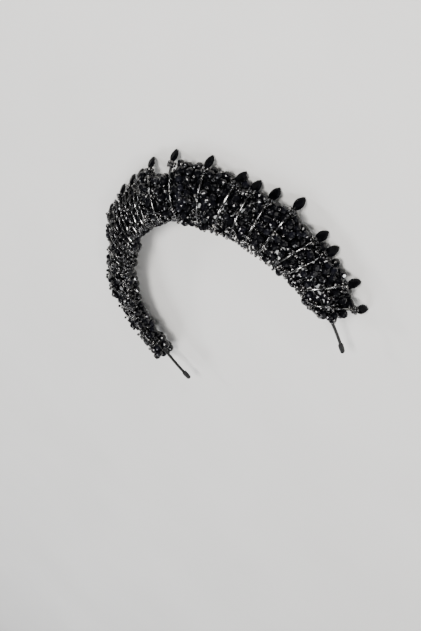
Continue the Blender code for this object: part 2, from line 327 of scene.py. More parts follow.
def arch_point(angle):
    turn = math.radians(angle)
    flat = Vector((ARCH_HALF_WIDTH * math.sin(turn), arch_rise(angle) * math.cos(turn), 0.0))
    return ARCH_CENTRE + flat


def arch_place(angle):
    """Axes at an angle of the arch: x towards its end, y outwards, z to the front."""
    turn = math.radians(angle)
    outward = Vector(
        (math.sin(turn) / ARCH_HALF_WIDTH, math.cos(turn) / arch_rise(angle), 0.0)
    ).normalized()
    front = Vector((0.0, 0.0, 1.0))
    place = Matrix((outward.cross(front), outward, front)).transposed().to_4x4()
    place.translation = arch_point(angle)
    return place


class Stem:
    """The line of one stem: an arc over a chord that leans back and fans sideways."""

    def __init__(self, angle, rise, foot, tip_depth, fan):
        self.place = arch_place(angle)
        side, outward, front = self.place.to_3x3().transposed()
        fan = math.radians(fan)
        self.foot = max(foot, LEAST_FOOT)
        depth = (tip_depth + self.foot) / math.cos(fan)
        lean = math.atan2(depth, rise)
        chord = outward * math.cos(lean) - front * math.sin(lean)
        self.start = self.place @ Vector((0.0, -FOOT_INSET, self.foot))
        self.chord = chord * math.cos(fan) + side * math.sin(fan)
        self.side = side * math.cos(fan) - chord * math.sin(fan)
        self.bow = outward * math.sin(lean) + front * math.cos(lean)
        self.half_bend = math.radians(STEM_BEND) / 2.0
        self.length = math.hypot(depth, rise) * self.half_bend / math.sin(self.half_bend)

    def turned(self, distance):
        """The angle between the chord and the stem at a distance from its foot."""
        return self.half_bend * (2.0 * distance / self.length - 1.0)

    def point(self, distance):
        radius = self.length / (2.0 * self.half_bend)
        end = self.turned(distance)
        along = radius * (math.sin(end) + math.sin(self.half_bend))
        bowed = radius * (math.cos(end) - math.cos(self.half_bend))
        return self.start + self.chord * along + self.bow * bowed

    def axes(self, distance):
        """Direction, facing (outwards) and side at a distance along the stem."""
        end = self.turned(distance)
        along = self.chord * math.cos(end) - self.bow * math.sin(end)
        return along, self.side.cross(along), self.side


def named_rows(columns, rows):
    return [dict(zip(columns, row)) for row in rows]


def sprig_rows():
    """The rows from the wearer's left to the right, with fan as a signed angle."""
    rows = list(LEFT_SPRIGS) + list(MIDDLE_SPRIGS)
    for angle, rise, foot, fan in reversed(LEFT_SPRIGS):
        if angle > MIRRORED_FROM:
            rows.append((-angle, rise, foot, fan))
    named = named_rows(SPRIG_COLUMNS, rows)
    for row in named:
        row["fan"] = math.copysign(1.0, row["angle"]) * row["fan"]
    return named


def spray_spans(rows):
    """The middle angle and half width of each gap, from the wearer's left to the right."""
    angles = [row["angle"] for row in rows]
    angles = [angles[0] + 2.0 * END_SPRAY_STEP] + angles + [angles[-1] - 2.0 * END_SPRAY_STEP]
    return [((one + two) / 2.0, (one - two) / 2.0) for one, two in zip(angles, angles[1:])]


def between_sprigs(rows, angle):
    """Rise, foot and fan at any angle, in straight lines between the sprigs."""
    angles = [-row["angle"] for row in rows]
    return tuple(
        float(np.interp(-angle, angles, [row[key] for row in rows])) for key in SPRIG_COLUMNS[1:]
    )


def stone_reach(angle):
    """Where a spray's stones start and end, as shares of a sprig's length."""
    if angle < -MIRRORED_FROM:
        angle = -angle
    columns = dict(zip(REACH_COLUMNS, zip(*STONE_REACHES)))
    angles = [-value for value in columns["angle"]]
    return tuple(float(np.interp(-angle, angles, columns[key])) for key in REACH_COLUMNS[1:])


def sprig_stem(angle, rise, foot, fan):
    return Stem(angle, rise * SPRIG_RISE, foot * FOOT_FORWARD, TIP_DEPTH, fan)


def sheet_stem(rows, angle):
    """The line that a sprig would have at any angle."""
    return sprig_stem(angle, *between_sprigs(rows, angle))


def spray_stem(rows, angle):
    """The line of a spray's stem: at least as high as its share, but low at the ends."""
    rise, foot, fan = between_sprigs(rows, angle)
    beyond = max(angle - rows[0]["angle"], rows[-1]["angle"] - angle, 0.0)
    drop = (SPRAY_LEAST_SHARE - END_SPRAY_SHARE) * beyond / END_SPRAY_STEP
    rise = max(rise, SPRAY_LEAST_SHARE) - drop
    return Stem(angle, rise * SPRAY_RISE, foot * SPRAY_FOOT_FORWARD, SPRAY_TIP_DEPTH, fan)


def axes_matrix(point, x_axis, y_axis, z_axis):
    place = Matrix((x_axis, y_axis, z_axis)).transposed().to_4x4()
    place.translation = point
    return place


def looking(point, direction, facing=Vector((0.0, 0.0, 1.0))):
    """Axes at a point: z along direction, x as near to facing as it can be."""
    z_axis = direction.normalized()
    y_axis = z_axis.cross(facing)
    if y_axis.length < SAME_DIRECTION:
        y_axis = z_axis.cross(Vector((1.0, 0.0, 0.0)))
    y_axis.normalize()
    return axes_matrix(point, y_axis.cross(z_axis), y_axis, z_axis)


# Shapes, one unit across, as points and faces


class Shape:
    def __init__(self, points, faces, smooth):
        self.points = np.array(points, float)
        self.faces = faces
        self.smooth = smooth


def ring_faces(count, sides):
    """Faces between rings of points one after the other, and a cap at each end."""
    faces = []
    for low in range(0, (count - 1) * sides, sides):
        for k in range(sides):
            m = (k + 1) % sides
            faces.append((low + k, low + m, low + sides + m, low + sides + k))
    faces.append(tuple(range(sides))[::-1])
    faces.append(tuple(range((count - 1) * sides, count * sides)))
    return faces


def ringed(rings, sides, closed=False, smooth=True, faceted=False):
    """A solid of rings of (radius, height, half steps turned), capped or closed on itself."""
    points = []
    for radius, height, turned in rings:
        for n in range(sides):
            angle = 2.0 * math.pi * (n + turned / 2.0) / sides
            points.append((radius * math.cos(angle), radius * math.sin(angle), height))
    faces = []
    count = len(rings)
    for ring in range(count if closed else count - 1):
        low, high = ring * sides, (ring + 1) % count * sides
        shift = rings[(ring + 1) % count][2] - rings[ring][2]
        for n in range(sides):
            m = (n + 1) % sides
            if not faceted or shift == 0:
                faces.append((low + n, low + m, high + m, high + n))
            elif shift > 0:
                faces.append((low + n, low + m, high + n))
                faces.append((low + m, high + m, high + n))
            else:
                faces.append((low + n, low + m, high + m))
                faces.append((low + n, high + m, high + n))
    if not closed:
        faces.append(tuple(range(sides))[::-1])
        faces.append(tuple(range((count - 1) * sides, count * sides)))
    return Shape(points, faces, smooth)


def seed_shape():
    """A round bead with a hole, its bore along Z."""
    across = 8
    middle, half_wall, half_length = 0.31, 0.19, SEED_LENGTH_SHARE / 2.0
    rings = []
    for n in range(across):
        angle = -2.0 * math.pi * n / across
        rings.append((middle + half_wall * math.cos(angle), -half_length * math.sin(angle), 0))
    return ringed(rings, sides=12, closed=True)


def bugle_shape():
    """A glass tube with softened ends, one unit across and one long."""
    chamfer = 0.035
    rings = [
        (0.30, 0.5 - chamfer, 0),
        (0.30, -0.5 + chamfer, 0),
        (0.36, -0.5, 0),
        (0.44, -0.5, 0),
        (0.50, -0.5 + chamfer, 0),
        (0.50, 0.5 - chamfer, 0),
        (0.44, 0.5, 0),
        (0.36, 0.5, 0),
    ]
    return ringed(rings, sides=14, closed=True)


def crystal_shape():
    """A cut rondelle: a table at each end of its bore and two rows of facets to the girdle."""
    rings = [
        (0.24, -0.40, 0),
        (0.40, -0.27, 1),
        (0.50, -0.06, 2),
        (0.50, 0.06, 2),
        (0.40, 0.27, 1),
        (0.24, 0.40, 0),
    ]
    return ringed(rings, sides=9, smooth=False, faceted=True)


def leaf_shape():
    """A navette stone, pointed along Z, its table facing X."""
    rings = [
        (0.42, -0.5, 0),
        (0.86, -0.22, 1),
        (1.0, -0.04, 2),
        (1.0, 0.04, 2),
        (0.84, 0.30, 1),
        (0.54, 0.5, 0),
    ]
    shape = ringed(rings, sides=16, smooth=False, faceted=True)
    x, y, z = shape.points.T
    reach = np.hypot(x, y)
    narrow = (np.abs(y) / reach) ** LEAF_POINT_POWER
    shape.points = np.stack(
        [z * LEAF_THICKNESS, y * narrow * LEAF_WIDTH / 2.0, x * LEAF_LENGTH / 2.0], axis=1
    )
    return shape


def path_frames(points):
    """Each point of a path with two ways across it, kept from twisting along the path."""
    normal = None
    for n, point in enumerate(points):
        along = (points[min(n + 1, len(points) - 1)] - points[max(n - 1, 0)]).normalized()
        if normal is None:
            normal = along.orthogonal().normalized()
        normal = (normal - along * normal.dot(along)).normalized()
        yield point, normal, along.cross(normal)


def tube(points, radius, sides):
    """A round wire along points."""
    ring_points = []
    for point, normal, across in path_frames([Vector(point) for point in points]):
        for k in range(sides):
            angle = 2.0 * math.pi * k / sides
            offset = normal * math.cos(angle) + across * math.sin(angle)
            ring_points.append(tuple(point + offset * radius))
    return Shape(ring_points, ring_faces(len(points), sides), True)


class Batch:
    """Many small shapes joined into one mesh, with a material number for each."""

    def __init__(self):
        self.points = []
        self.faces = []
        self.materials = []
        self.smooth = []
        self.count = 0

    def add(self, shape, place=None, scale=(1.0, 1.0, 1.0), material=0):
        points = shape.points * np.array(scale)
        if place is not None:
            matrix = np.array(place)
            points = points @ matrix[:3, :3].T + matrix[:3, 3]
        self.points.append(points)
        self.faces += [tuple(self.count + n for n in face) for face in shape.faces]
        self.materials += [material] * len(shape.faces)
        self.smooth += [shape.smooth] * len(shape.faces)
        self.count += len(points)

    def piece(self, name, materials, slot, replaced=()):
        mesh = bpy.data.meshes.new(name)
        mesh.from_pydata(np.concatenate(self.points).tolist(), [], self.faces)
        for material in materials:
            mesh.materials.append(material)
        mesh.polygons.foreach_set("material_index", self.materials)
        mesh.polygons.foreach_set("use_smooth", self.smooth)
        mesh.update()
        item = bpy.data.objects.new(name, mesh)
        bpy.context.scene.collection.objects.link(item)
        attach(item, "root")
        if replaced:
            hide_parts(*replaced)


# Materials


def shader_material(name, colour, roughness, metallic):
    material = bpy.data.materials.new(name)
    material.use_nodes = True
    shader = material.node_tree.nodes["Principled BSDF"]
    shader.inputs["Base Color"].default_value = (*colour, 1.0)
    shader.inputs["Roughness"].default_value = roughness
    shader.inputs["Metallic"].default_value = metallic
    shader.inputs["IOR"].default_value = SURFACE_IOR
    return material, shader


def node(material, kind, **inputs):
    made = material.node_tree.nodes.new(kind)
    for name, value in inputs.items():
        made.inputs[name].default_value = value
    return made


def link(material, source, output, target, socket):
    material.node_tree.links.new(source.outputs[output], target.inputs[socket])


def place_coordinates(material, target):
    where = material.node_tree.nodes.new("ShaderNodeTexCoord")
    link(material, where, "Object", target, "Vector")


def ramp(material, source, output, stops):
    made = material.node_tree.nodes.new("ShaderNodeValToRGB")
    elements = made.color_ramp.elements
    while len(elements) < len(stops):
        elements.new(0.5)
    for element, (position, colour) in zip(elements, stops):
        element.position = position
        element.color = (*colour, 1.0)
    link(material, source, output, made, "Fac")
    return made


def set_shades(material, shader, source, output, stops):
    """The colour of a material, by the stops of a ramp."""
    link(material, ramp(material, source, output, stops), "Color", shader, "Base Color")


def set_polish(material, shader, source, low, high):
    """The roughness of a material, between two levels."""
    stops = ((0.0, (low,) * 3), (1.0, (high,) * 3))
    link(material, ramp(material, source, "Fac", stops), "Color", shader, "Roughness")


def set_shine(shader, level):
    shader.inputs["Specular IOR Level"].default_value = level


def noise(material, scale, detail=3.0):
    made = node(material, "ShaderNodeTexNoise", Scale=scale, Detail=detail)
    place_coordinates(material, made)
    return made


def cells(material, scale):
    made = node(material, "ShaderNodeTexVoronoi", Scale=scale)
    place_coordinates(material, made)
    return made


def set_grain(material, shader, source, strength):
    """Fine bumps on a surface."""
    made = node(material, "ShaderNodeBump", Strength=strength, Distance=GRAIN_DEPTH)
    link(material, source, "Fac", made, "Height")
    link(material, made, "Normal", shader, "Normal")


def jet_crystal():
    """Opaque black cut glass, its polish a little different from place to place."""
    material, shader = shader_material(
        "jet_crystal", colour=(0.004, 0.004, 0.005), roughness=0.06, metallic=0.0
    )
    set_shine(shader, 0.32)
    tint = cells(material, scale=170.0)
    stops = (
        (0.0, (0.001, 0.001, 0.0015)),
        (0.6, (0.003, 0.003, 0.004)),
        (1.0, (0.007, 0.007, 0.011)),
    )
    set_shades(material, shader, tint, "Distance", stops)
    set_polish(material, shader, noise(material, scale=420.0), low=0.02, high=0.13)
    return material


def jet_leaf():
    """The leaf stones: jet like the crystals, with a duller polish."""
    material, shader = shader_material(
        "jet_leaf", colour=(0.002, 0.002, 0.003), roughness=0.12, metallic=0.0
    )
    set_shine(shader, 0.05)
    haze = noise(material, scale=260.0)
    stops = ((0.3, (0.0008, 0.0008, 0.001)), (0.8, (0.003, 0.003, 0.0045)))
    set_shades(material, shader, haze, "Fac", stops)
    set_polish(material, shader, haze, low=0.05, high=0.24)
    return material


def gunmetal():
    """Metal-lined dark glass: steel grey that changes over a bead's width, finely grained."""
    material, shader = shader_material(
        "gunmetal_beads", colour=(0.16, 0.16, 0.17), roughness=0.2, metallic=1.0
    )
    change = cells(material, scale=520.0)
    stops = ((0.0, (0.016, 0.016, 0.018)), (0.5, (0.055, 0.055, 0.057)), (1.0, (0.30, 0.29, 0.28)))
    set_shades(material, shader, change, "Distance", stops)
    haze = noise(material, scale=900.0)
    set_polish(material, shader, haze, low=0.08, high=0.34)
    set_grain(material, shader, haze, strength=0.15)
    return material


def silver_bugle():
    """Bugle beads: brighter than the seed beads, with lighter and darker stretches."""
    material, shader = shader_material(
        "silver_bugles", colour=(0.42, 0.42, 0.42), roughness=0.16, metallic=1.0
    )
    change = noise(material, scale=260.0, detail=2.0)
    stops = ((0.32, (0.03, 0.03, 0.032)), (0.55, (0.16, 0.16, 0.16)), (0.72, (0.60, 0.59, 0.57)))
    set_shades(material, shader, change, "Fac", stops)
    set_polish(material, shader, noise(material, scale=1400.0), low=0.06, high=0.26)
    return material


def dark_wire():
    """Blackened wire, rubbed bright in places."""
    material, shader = shader_material(
        "dark_wire", colour=(0.10, 0.10, 0.10), roughness=0.32, metallic=1.0
    )
    wear = noise(material, scale=700.0)
    stops = (
        (0.35, (0.008, 0.008, 0.009)),
        (0.60, (0.025, 0.025, 0.025)),
        (0.80, (0.14, 0.13, 0.12)),
    )
    set_shades(material, shader, wear, "Fac", stops)
    set_grain(material, shader, wear, strength=0.2)
    return material


def black_band():
    """Satin black lacquer on steel, slightly uneven, with faint rub marks."""
    material, shader = shader_material(
        "black_band", colour=(0.012, 0.012, 0.013), roughness=0.34, metallic=0.0
    )
    wear = noise(material, scale=180.0, detail=6.0)
    stops = (
        (0.35, (0.003, 0.003, 0.003)),
        (0.65, (0.007, 0.007, 0.007)),
        (0.85, (0.03, 0.03, 0.03)),
    )
    set_shades(material, shader, wear, "Fac", stops)
    set_polish(material, shader, wear, low=0.22, high=0.5)
    set_grain(material, shader, noise(material, scale=900.0), strength=0.12)
    set_shine(shader, 0.25)
    return material


def soft_cap():
    """Matt dark rubber with a fine grain."""
    material, shader = shader_material(
        "soft_cap", colour=(0.022, 0.022, 0.024), roughness=0.62, metallic=0.0
    )
    grain = noise(material, scale=1500.0, detail=4.0)
    stops = ((0.3, (0.005, 0.005, 0.005)), (0.7, (0.014, 0.014, 0.015)))
    set_shades(material, shader, grain, "Fac", stops)
    set_polish(material, shader, grain, low=0.5, high=0.75)
    set_grain(material, shader, grain, strength=0.25)
    set_shine(shader, 0.3)
    return material


MATERIALS = {
    "jet": jet_crystal(),
    "leaf": jet_leaf(),
    "gunmetal": gunmetal(),
    "bugle": silver_bugle(),
    "wire": dark_wire(),
    "band": black_band(),
    "cap": soft_cap(),
}
METALS = [MATERIALS["gunmetal"], MATERIALS["bugle"], MATERIALS["wire"]]
GUNMETAL, BUGLE, WIRE = range(3)

SHAPES = {
    "seed": seed_shape(),
    "bugle": bugle_shape(),
    "crystal": crystal_shape(),
    "leaf": leaf_shape(),
}


# What is already in place, as balls. Stones of a spray may sink into their neighbours, and
# the beads of a whorl or a file are put down without a look at what is there.


class Taken:
    def __init__(self):
        self.centres = np.zeros((0, 3))
        self.radii = np.zeros(0)
        self.carrying = np.zeros(0, bool)

    def add(self, point, radius, carrying=True):
        self.centres = np.vstack([self.centres, np.array(point)])
        self.radii = np.append(self.radii, radius)
        self.carrying = np.append(self.carrying, carrying)

    def free(self, point, radius, closeness):
        """Whether every middle is further away than this share of both radii."""
        gaps = np.linalg.norm(self.centres - np.array(point), axis=1)
        return bool(np.all(gaps > (self.radii + radius) * closeness))

    def touching(self, point, radius):
        """Whether something that could carry a bead is right beside this place."""
        gaps = np.linalg.norm(self.centres - np.array(point), axis=1)
        return bool(np.any(self.carrying & (gaps < self.radii + radius + TOUCH_ROOM)))


TAKEN = Taken()


class Sight:
    """The stems, strands and leaves that stones put down after them must not hide."""

    def __init__(self):
        self.points = np.zeros((0, 3))
        self.sides = np.zeros((0, 3))
        self.fronts = np.zeros((0, 3))
        self.widths = np.zeros(0)

    def add(self, stem, distance, half_width):
        _, facing, side = stem.axes(distance)
        self.points = np.vstack([self.points, np.array(stem.point(distance))])
        self.sides = np.vstack([self.sides, np.array(side)])
        self.fronts = np.vstack([self.fronts, np.array(facing)])
        self.widths = np.append(self.widths, half_width)

    def add_run(self, stem, low, high, half_width):
        for distance in np.arange(low, high, COVER_STEP):
            self.add(stem, float(distance), half_width)

    def clear(self, point, radius):
        slant = math.radians(VIEW_SLANT)
        away = np.array(point) - self.points
        aside = np.abs((away * self.sides).sum(axis=1))
        ahead = (away * self.fronts).sum(axis=1)
        beyond = np.sqrt(np.maximum((away**2).sum(axis=1) - aside**2 - ahead**2, 0.0))
        near = beyond < radius + COVER_STEP / 2.0
        gap = aside * math.cos(slant) - ahead * math.sin(slant)
        return not np.any(near & (gap < radius + self.widths * math.cos(slant)))


SIGHT = Sight()


def put_ball(batch, shape, point, diameter, direction, material=0, facing=Vector((0, 0, 1))):
    batch.add(SHAPES[shape], looking(point, direction, facing), (diameter,) * 3, material)
    TAKEN.add(point, diameter / 2.0)


# Headband, caps and wire coils


def band_profile():
    """The strip's section: flat faces and round edges, as (outwards, forwards)."""
    half_width, half_wall = BAND_WIDTH / 2.0, BAND_THICKNESS / 2.0
    edge = BAND_THICKNESS * BAND_EDGE_SHARE
    corners = ((1, 1), (1, -1), (-1, -1), (-1, 1))
    starts = (90, 0, 270, 180)
    points = []
    for (out, front), start in zip(corners, starts):
        for step in range(BAND_EDGE_STEPS + 1):
            angle = math.radians(start - 90.0 * step / BAND_EDGE_STEPS)
            points.append(
                (
                    out * (half_wall - edge) + edge * math.cos(angle),
                    front * (half_width - edge) + edge * math.sin(angle),
                )
            )
    return points


def make_headband():
    profile = band_profile()
    points = []
    for n in range(BAND_STEPS + 1):
        place = arch_place(LEG_END_ANGLE * (1.0 - 2.0 * n / BAND_STEPS))
        points += [tuple(place @ Vector((0.0, out, front))) for out, front in profile]
    batch = Batch()
    batch.add(Shape(points, ring_faces(BAND_STEPS + 1, len(profile)), True))
    batch.piece("headband_strip", [MATERIALS["band"]], "black_band", ["headband"])


def signed_power(value, power):
    return math.copysign(abs(value) ** power, value)


def cap_swell(row):
    """How far a cap reaches out at one of its rows, as a share of its half sizes."""
    if row == 0:
        return CAP_MOUTH_SWELL
    if row == CAP_ROWS:
        return CAP_TIP_SWELL
    share = 2.0 * row / CAP_ROWS - 1.0
    power = CAP_TIP_POWER if share > 0 else CAP_MOUTH_POWER
    swell = max(0.0, 1.0 - abs(share) ** power) ** 0.5
    return swell * (1.0 - CAP_TAPER * share)


def make_cap(name, side):
    """A soft tip: rounded along its length and closed over the band's end."""
    low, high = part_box(name)
    middle = (low + high) / 2.0
    end = arch_point(side * LEG_END_ANGLE)
    before = arch_point(side * (LEG_END_ANGLE - CAP_AIM_ANGLE))
    along = (end - before).normalized()
    front = Vector((0.0, 0.0, 1.0))
    across = along.cross(front)
    half_length, half_width, half_wall = CAP_HALF_SIZES
    points = []
    for n in range(CAP_ROWS + 1):
        share = 2.0 * n / CAP_ROWS - 1.0
        swell = cap_swell(n)
        for k in range(CAP_SIDES):
            angle = 2.0 * math.pi * k / CAP_SIDES
            wide = signed_power(math.cos(angle), CAP_SECTION_POWERS[0]) * half_width * swell
            thick = signed_power(math.sin(angle), CAP_SECTION_POWERS[1]) * half_wall * swell
            point = middle + along * share * half_length + front * wide + across * thick
            points.append(tuple(point))
    batch = Batch()
    batch.add(Shape(points, ring_faces(CAP_ROWS + 1, CAP_SIDES), True))
    batch.piece(name + "_rubber", [MATERIALS["cap"]], "soft_cap", [name])


def add_coil(batch, angle):
    """Turns of wire round the band."""
    place = arch_place(angle)
    half_out = BAND_THICKNESS / 2.0 + COIL_WIRE_RADIUS * COIL_LIFT
    half_front = BAND_WIDTH / 2.0 + COIL_WIRE_RADIUS * COIL_LIFT
    points = []
    for n in range(COIL_TURNS * COIL_STEPS + 1):
        turn = 2.0 * math.pi * n / COIL_STEPS
        out = signed_power(math.cos(turn), COIL_POWER) * half_out
        front = signed_power(math.sin(turn), COIL_POWER) * half_front
        along = (n / COIL_STEPS - COIL_TURNS / 2.0) * COIL_WIRE_RADIUS * COIL_PITCH
        points.append(place @ Vector((along, out, front)))
    batch.add(tube(points, COIL_WIRE_RADIUS, STRAND_SIDES), material=WIRE)
    for share in COIL_BALL_SHARES:
        TAKEN.add(place @ Vector((0.0, 0.0, half_front * share)), half_out + COIL_WIRE_RADIUS)


def stem_path(stem, end):
    """From the coil on the band, forwards to the foot, and up the stem."""
    start = stem.place @ Vector((0.0, -PATH_START_INSET, BAND_WIDTH / 2.0 + COIL_WIRE_RADIUS))
    bend_inset = -FOOT_INSET * PATH_BEND_INSET_SHARE
    bend = stem.place @ Vector((0.0, bend_inset, stem.foot * PATH_BEND_FOOT_SHARE))
    points = [start] + [start.lerp(bend, share) for share in PATH_LEAD_SHARES]
    points += [bend, stem.point(0.0)]
    steps = max(PATH_LEAST_STEPS, round(end / PATH_STEP))
    points += [stem.point(end * (n + 1) / steps) for n in range(steps)]
    return points


def resampled(points, step):
    """Points at an even pitch along a path."""
    points = np.array([tuple(point) for point in points])
    lengths = np.linalg.norm(np.diff(points, axis=0), axis=1)
    along = np.concatenate([[0.0], np.cumsum(lengths)])
    count = max(2, int(along[-1] / step))
    wanted = np.linspace(0.0, along[-1], count + 1)
    return [
        Vector([float(np.interp(value, along, points[:, axis])) for axis in range(3)])
        for value in wanted
    ]


def add_twisted(batch, points):
    """Two strands twisted round the same path."""
    points = [inside_box(point, 2.0 * STRAND_RADIUS) for point in resampled(points, STRAND_STEP)]
    strands = ([], [])
    for n, (point, normal, across) in enumerate(path_frames(points)):
        turn = 2.0 * math.pi * n * STRAND_STEP / STRAND_PITCH
        offset = (normal * math.cos(turn) + across * math.sin(turn)) * STRAND_RADIUS
        strands[0].append(point + offset)
        strands[1].append(point - offset)
    for strand in strands:
        batch.add(tube(strand, STRAND_RADIUS, STRAND_SIDES), material=WIRE)


# Leaf sprigs


def around(stem, distance, radius, turn):
    """A point beside the stem, and the way out to it."""
    along, facing, side = stem.axes(distance)
    out = facing * math.cos(turn) + side * math.sin(turn)
    return stem.point(distance) + out * radius, out, along


def inside_box(point, radius):
    """The same place, moved just far enough to keep a bead inside the crown's box."""
    low, high = CAD_BOX
    return Vector(
        [
            min(max(value, bottom + radius + BOX_ROOM), top - radius - BOX_ROOM)
            for value, bottom, top in zip(point, low, high)
        ]
    )


def add_whorl(batch, stem, distance, count, radius, draw, phase):
    """A ring of seed beads round the stem, each on its own short turn of wire."""
    for n in range(count):
        turn = phase + 2.0 * math.pi * n / count
        turn += draw.uniform(-WHORL_TURN_JITTER, WHORL_TURN_JITTER)
        spot = distance + draw.uniform(-WHORL_PLACE_JITTER, WHORL_PLACE_JITTER)
        place, out, along = around(stem, spot, radius, turn)
        place = inside_box(place, SEED_DIAMETER / 2.0)
        aside = out.cross(along) * draw.uniform(-WHORL_LEAN, WHORL_LEAN)
        lean = (along + aside + out * WHORL_OUTWARDS).normalized()
        put_ball(batch, "seed", place, SEED_DIAMETER * draw.uniform(*WHORL_SIZES), lean, GUNMETAL)


def add_bugle(batch, stem, middle):
    """A bugle bead between two points of the stem, and the balls that stand for it."""
    radius = BUGLE_DIAMETER / 2.0
    ends = [inside_box(stem.point(middle + end * BUGLE_LENGTH / 2.0), radius) for end in (-1, 1)]
    _, facing, _ = stem.axes(middle)
    place = looking((ends[0] + ends[1]) / 2.0, ends[1] - ends[0], facing)
    size = (BUGLE_DIAMETER, BUGLE_DIAMETER, BUGLE_LENGTH)
    batch.add(SHAPES["bugle"], place, size, BUGLE)
    for n in range(BUGLE_BALLS):
        TAKEN.add(ends[0].lerp(ends[1], n / (BUGLE_BALLS - 1)), radius)


def add_file(batch, stem, high, low, material=GUNMETAL):
    """Seed beads threaded one behind the other, down the stem."""
    count = max(1, round((high - low) / (SEED_DIAMETER * SEED_LENGTH_SHARE)))
    for n in range(count):
        distance = high + (low - high) * (n + 0.5) / count
        along, _, _ = stem.axes(distance)
        point = inside_box(stem.point(distance), SEED_DIAMETER / 2.0)
        put_ball(batch, "seed", point, SEED_DIAMETER, along, material)


def make_leaf(number, stem, leaf_start):
    """The navette stone at a sprig's tip."""
    stone = Batch()
    base, tip = stem.point(leaf_start), stem.point(stem.length)
    _, facing, _ = stem.axes(stem.length - LEAF_LENGTH / 2.0)
    middle = (base + tip) / 2.0 + (base - tip).normalized() * LEAF_DROP
    stone.add(SHAPES["leaf"], looking(middle, tip - base, facing), LEAF_FIT)
    for n in range(LEAF_BALLS):
        TAKEN.add(base.lerp(tip, (n + 0.5) / LEAF_BALLS), LEAF_BALL_RADIUS, False)
    stone.piece(f"leaf_stone_{number:02d}", [MATERIALS["leaf"]], "black_crystal")


def make_sprig(number, row):
    """Wire, leaf stone and beads of one sprig, from its tip down to its tail."""
    draw = random.Random(SPRIG_DRAWS + number)
    stem = sprig_stem(**row)
    name = f"leaf_sprig_{number:02d}"
    batch = Batch()
    add_coil(batch, row["angle"])
    leaf_start = stem.length - LEAF_LENGTH
    add_twisted(batch, stem_path(stem, leaf_start + WIRE_INTO_LEAF))
    make_leaf(number, stem, leaf_start)
    for place, count, radius, turn in CALYX_RINGS:
        add_whorl(batch, stem, leaf_start + place, count, radius, draw, turn)

    # Beads down to the first bugle, and a whorl of beads at each bugle's foot
    bead = WIRE if STRANDS_TO < row["angle"] < STRANDS_FROM else GUNMETAL
    spare = leaf_start - BUGLE_COUNT * BUGLE_LENGTH - JOINT_LENGTH
    low = leaf_start - NECK_SHARE * spare
    add_file(batch, stem, leaf_start - NECK_ROOM, low, bead)
    for _ in range(BUGLE_COUNT):
        add_bugle(batch, stem, low - BUGLE_LENGTH / 2.0)
        high = low - BUGLE_LENGTH
        low = high - JOINT_LENGTH
        add_file(batch, stem, high, low, bead)
        turn = draw.uniform(0.0, WHORL_MOST_TURN)
        add_whorl(batch, stem, (high + low) / 2.0, WHORL_COUNT, WHORL_RADIUS, draw, turn)

    # Beads threaded past the foot, and the cluster that ends them
    tail = -stone_reach(row["angle"])[0] * stem.length * TAIL_SHARE
    add_file(batch, stem, low, -TAIL_FILE_SHARE * tail, bead)
    for place, count, radius in CLUSTER_RINGS:
        turn = draw.uniform(0.0, WHORL_MOST_TURN)
        add_whorl(batch, stem, -place * tail, count, radius, draw, turn)
    SIGHT.add_run(stem, low, leaf_start, BUGLE_DIAMETER / 2.0)
    SIGHT.add_run(stem, leaf_start, stem.length, LEAF_WIDTH / 2.0 * LEAF_COVER_SHARE)
    batch.piece(name + "_beads", METALS, "gunmetal_beads", [name])


# Crystal sprays


def random_direction(draw):
    height = draw.uniform(-1.0, 1.0)
    turn = draw.uniform(0.0, 2.0 * math.pi)
    flat = math.sqrt(1.0 - height * height)
    return Vector((flat * math.cos(turn), flat * math.sin(turn), height))


def allowed(point, radius, angle):
    """Clear of the band and the wearer's head."""
    local = arch_place(angle).inverted() @ point
    if local.y - radius < -HEAD_ROOM:
        return False
    out = max(0.0, abs(local.y) - BAND_THICKNESS / 2.0 - 2.0 * COIL_WIRE_RADIUS)
    front = max(0.0, abs(local.z) - BAND_WIDTH / 2.0 - 2.0 * COIL_WIRE_RADIUS)
    return math.hypot(out, front) > radius


def spot_in(rows, angle, share, height):
    """A place over the sheet of stems at an angle: the point, and the way outwards."""
    stem = sheet_stem(rows, angle)
    distance = share * stem.length
    _, facing, _ = stem.axes(distance)
    return stem.point(distance) + facing * height, facing


def layer_spots(rows, span, layer, draw):
    """Places for one layer, in staggered rows as close as its pitch."""
    low, high = span
    middle = (low + high) / 2.0
    start, reach = stone_reach(middle)
    length = sheet_stem(rows, middle).length * (reach - start)
    count = int(length / (layer["pitch"] * LAYER_ROW_SHARE)) + 1
    for n in range(count):
        row = n + draw.uniform(-LAYER_JITTER, LAYER_JITTER)
        share = start + (reach - start) * row / max(1, count - 1)
        share = min(max(share, start), reach)
        one, _ = spot_in(rows, low, share, layer["height"])
        two, _ = spot_in(rows, high, share, layer["height"])
        across = max(1, round((one - two).length / layer["pitch"]))
        for k in range(across):
            place = k + LAYER_FIRST_PLACE + 0.5 * (n % 2)
            place = (place + draw.uniform(-LAYER_JITTER, LAYER_JITTER)) / across
            angle = low + (high - low) * min(max(place, LAYER_PLACES[0]), LAYER_PLACES[1])
            if abs(angle) > END_STEM_ANGLE and share > stone_reach(angle)[1]:
                continue
            height = layer["height"] + draw.uniform(-1.0, 1.0) * layer["jitter"]
            yield (angle, *spot_in(rows, angle, share, height))


def thrown_spots(rows, span, spec, draw):
    """Places anywhere between two sprigs, as many as the row has darts."""
    low, high = span
    for _ in range(round(spec["darts"] * (low - high) / COUNT_ANGLE)):
        angle = draw.uniform(high, low)
        start, reach = stone_reach(angle)
        share = start + (reach - start) * draw.uniform(spec["low"], spec["high"])
        yield (angle, *spot_in(rows, angle, share, draw.uniform(spec["back"], spec["front"])))


